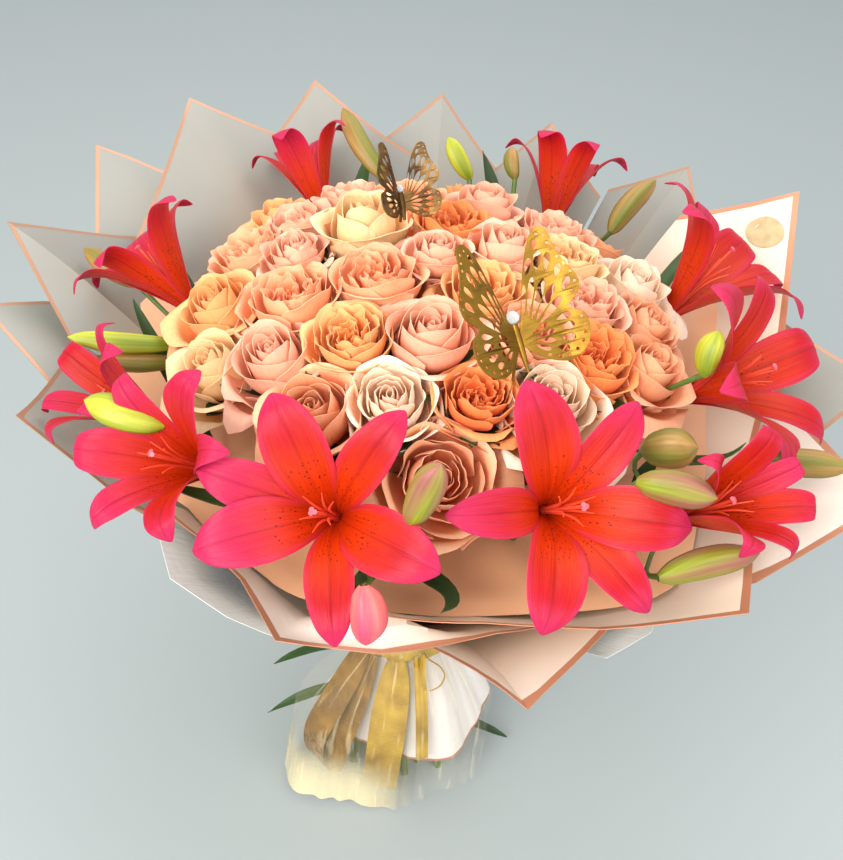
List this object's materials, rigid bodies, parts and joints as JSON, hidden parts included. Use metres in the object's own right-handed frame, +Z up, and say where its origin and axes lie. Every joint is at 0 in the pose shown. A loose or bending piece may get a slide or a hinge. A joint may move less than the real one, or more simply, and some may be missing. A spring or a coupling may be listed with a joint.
{
  "type": "mixed flower bouquet",
  "caption": "Hand-tied bouquet of roses and lilies with buds, wrapped in flared folded paper sheets with a ribbon, film and butterfly picks, standing on its cut stems.",
  "frame": {"origin": "on the floor, at the cut end of the centre stem", "axes": "+Z up through the tie, -Y towards the front of the bouquet, +X to its right"},
  "size_m": [0.653, 0.5555, 0.5684],
  "materials": {
    "rose_cream": "petal",
    "rose_peach": "petal",
    "rose_blush": "petal",
    "rose_apricot": "petal",
    "rose_orange": "petal",
    "lily": "waxy petal",
    "green": "leaf",
    "paper": "smooth",
    "frill": "smooth",
    "film": "frosted clear",
    "ribbon": "satin",
    "gold": "antique gold"
  },
  "bodies": {
    "root": {"rose_01": "rose_cream", "rose_02": "rose_peach", "rose_03": "rose_blush", "rose_04": "rose_peach", "rose_05": "rose_apricot", "rose_06": "rose_peach", "rose_07": "rose_blush", "rose_08": "rose_blush", "rose_09": "rose_cream", "rose_10": "rose_blush", "rose_11": "rose_apricot", "rose_12": "rose_blush", "rose_13": "rose_cream", "rose_14": "rose_orange", "rose_15": "rose_peach", "rose_16": "rose_peach", "rose_17": "rose_cream", "rose_18": "rose_orange", "rose_19": "rose_peach", "rose_20": "rose_blush", "rose_21": "rose_cream", "rose_22": "rose_cream", "rose_23": "rose_apricot", "rose_24": "rose_blush", "rose_25": "rose_blush", "rose_26": "rose_orange", "rose_27": "rose_blush", "rose_28": "rose_peach", "rose_29": "rose_blush", "rose_30": "rose_peach", "rose_31": "rose_peach", "rose_32": "rose_apricot", "rose_33": "rose_cream", "rose_34": "rose_apricot", "rose_35": "rose_peach", "lily_01": "lily", "lily_02": "lily", "lily_03": "lily", "lily_04": "lily", "lily_05": "lily", "lily_06": "lily", "lily_07": "lily", "lily_08": "lily", "lily_09": "lily", "lily_10": "lily", "stems_buds_leaves": "green", "paper_right": "paper", "paper_front": "paper", "paper_back_left": "paper", "paper_left": "paper", "paper_back": "paper", "paper_far_right": "paper", "paper_far_left": "paper", "paper_back_right": "paper", "paper_frill": "frill", "clear_film": "film", "gold_ribbon": "ribbon", "butterfly_front": "gold", "butterfly_back": "gold"}
  },
  "joints": []
}
